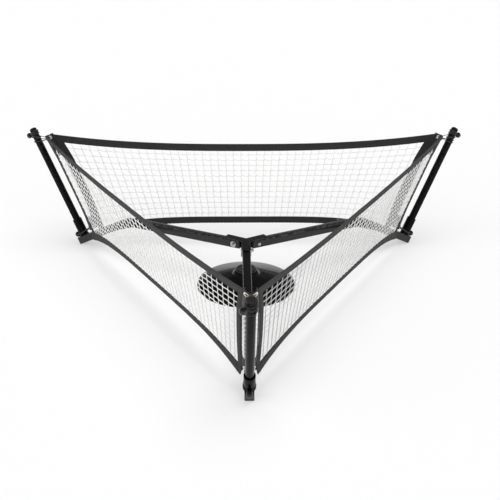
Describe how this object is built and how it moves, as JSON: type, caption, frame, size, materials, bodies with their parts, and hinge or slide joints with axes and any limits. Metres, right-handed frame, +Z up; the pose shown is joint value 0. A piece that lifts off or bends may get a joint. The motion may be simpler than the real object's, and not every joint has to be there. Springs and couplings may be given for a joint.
{
  "type": "rebounder net",
  "caption": "Free-standing rebounder: tilted net panels tied between posts on bent arms over a weighted base, to return a ball thrown from any side.",
  "frame": {"origin": "on the floor under the middle of the hub, at the centre of the base's underside", "axes": "+Z up, -Y towards the front corner, +X to the right of the person who looks at that corner from in front"},
  "size_m": [1.7564, 1.5164, 0.4621],
  "materials": {
    "painted_steel": "satin black powder coat",
    "post_paint": "semi-gloss black paint",
    "zinc_steel": "bright zinc plating",
    "black_plastic": "moulded, fine texture",
    "ball_plastic": "moulded, semi-gloss",
    "elastic_cord": "woven cover",
    "netting": "knotless white twine",
    "webbing": "woven black tape with two rows of stitching",
    "base_plastic": "moulded, satin",
    "ballast": "cast, hidden in the base"
  },
  "bodies": {
    "base": {"base_bottom": "base_plastic", "base_weight": "ballast", "base_shell": "base_plastic", "stem": "painted_steel"},
    "knob": {"stem_knob": "base_plastic"},
    "frame": {"hub_plate": "painted_steel", "hub_socket": "painted_steel", "arm_front": "painted_steel", "arm_back_right": "painted_steel", "arm_back_left": "painted_steel", "arm_stub_front": "painted_steel", "arm_stub_back_right": "painted_steel", "arm_stub_back_left": "painted_steel", "arm_plug_front": "black_plastic", "arm_plug_back_right": "black_plastic", "arm_plug_back_left": "black_plastic", "bolt_front": "zinc_steel", "bolt_back_right": "zinc_steel", "bolt_back_left": "zinc_steel", "washer_front": "zinc_steel", "washer_back_right": "zinc_steel", "washer_back_left": "zinc_steel", "nut_front": "zinc_steel", "nut_back_right": "zinc_steel", "nut_back_left": "zinc_steel", "post_socket_front": "painted_steel", "post_socket_back_right": "painted_steel", "post_socket_back_left": "painted_steel", "corner_strip_front": "netting", "corner_strip_back_right": "netting", "corner_strip_back_left": "netting", "loop_bottom_front": "elastic_cord", "loop_bottom_back_right": "elastic_cord", "loop_bottom_back_left": "elastic_cord", "ball_bottom_front": "ball_plastic", "ball_bottom_back_right": "ball_plastic", "ball_bottom_back_left": "ball_plastic", "loop_top_front": "elastic_cord", "loop_top_back_right": "elastic_cord", "loop_top_back_left": "elastic_cord", "ball_top_front": "ball_plastic", "ball_top_back_right": "ball_plastic", "ball_top_back_left": "ball_plastic", "net_back": "netting", "net_left": "netting", "net_right": "netting", "top_webbing_back": "webbing", "top_webbing_left": "webbing", "top_webbing_right": "webbing", "lower_webbing_back": "webbing", "lower_webbing_left": "webbing", "lower_webbing_right": "webbing"},
    "post_front": {"post_front": "post_paint", "post_cap_front": "black_plastic"},
    "post_back_right": {"post_back_right": "post_paint", "post_cap_back_right": "black_plastic"},
    "post_back_left": {"post_back_left": "post_paint", "post_cap_back_left": "black_plastic"}
  },
  "joints": [
    {"name": "frame_lift", "type": "slide", "parent": "base", "child": "frame", "axis": [0, 0, 1], "range_m": [0, 0.045]},
    {"name": "knob_turn", "type": "hinge", "parent": "base", "child": "knob", "pos_m": [0, 0, 0.067], "axis": [0, 0, 1], "range_deg": [0, 270]},
    {"name": "post_pull_front", "type": "slide", "parent": "frame", "child": "post_front", "axis": [0, -0.4772, 0.8788], "range_m": [0, 0.065]},
    {"name": "post_pull_back_right", "type": "slide", "parent": "frame", "child": "post_back_right", "axis": [0.4132, 0.2386, 0.8788], "range_m": [0, 0.065]},
    {"name": "post_pull_back_left", "type": "slide", "parent": "frame", "child": "post_back_left", "axis": [-0.4132, 0.2386, 0.8788], "range_m": [0, 0.065]}
  ]
}
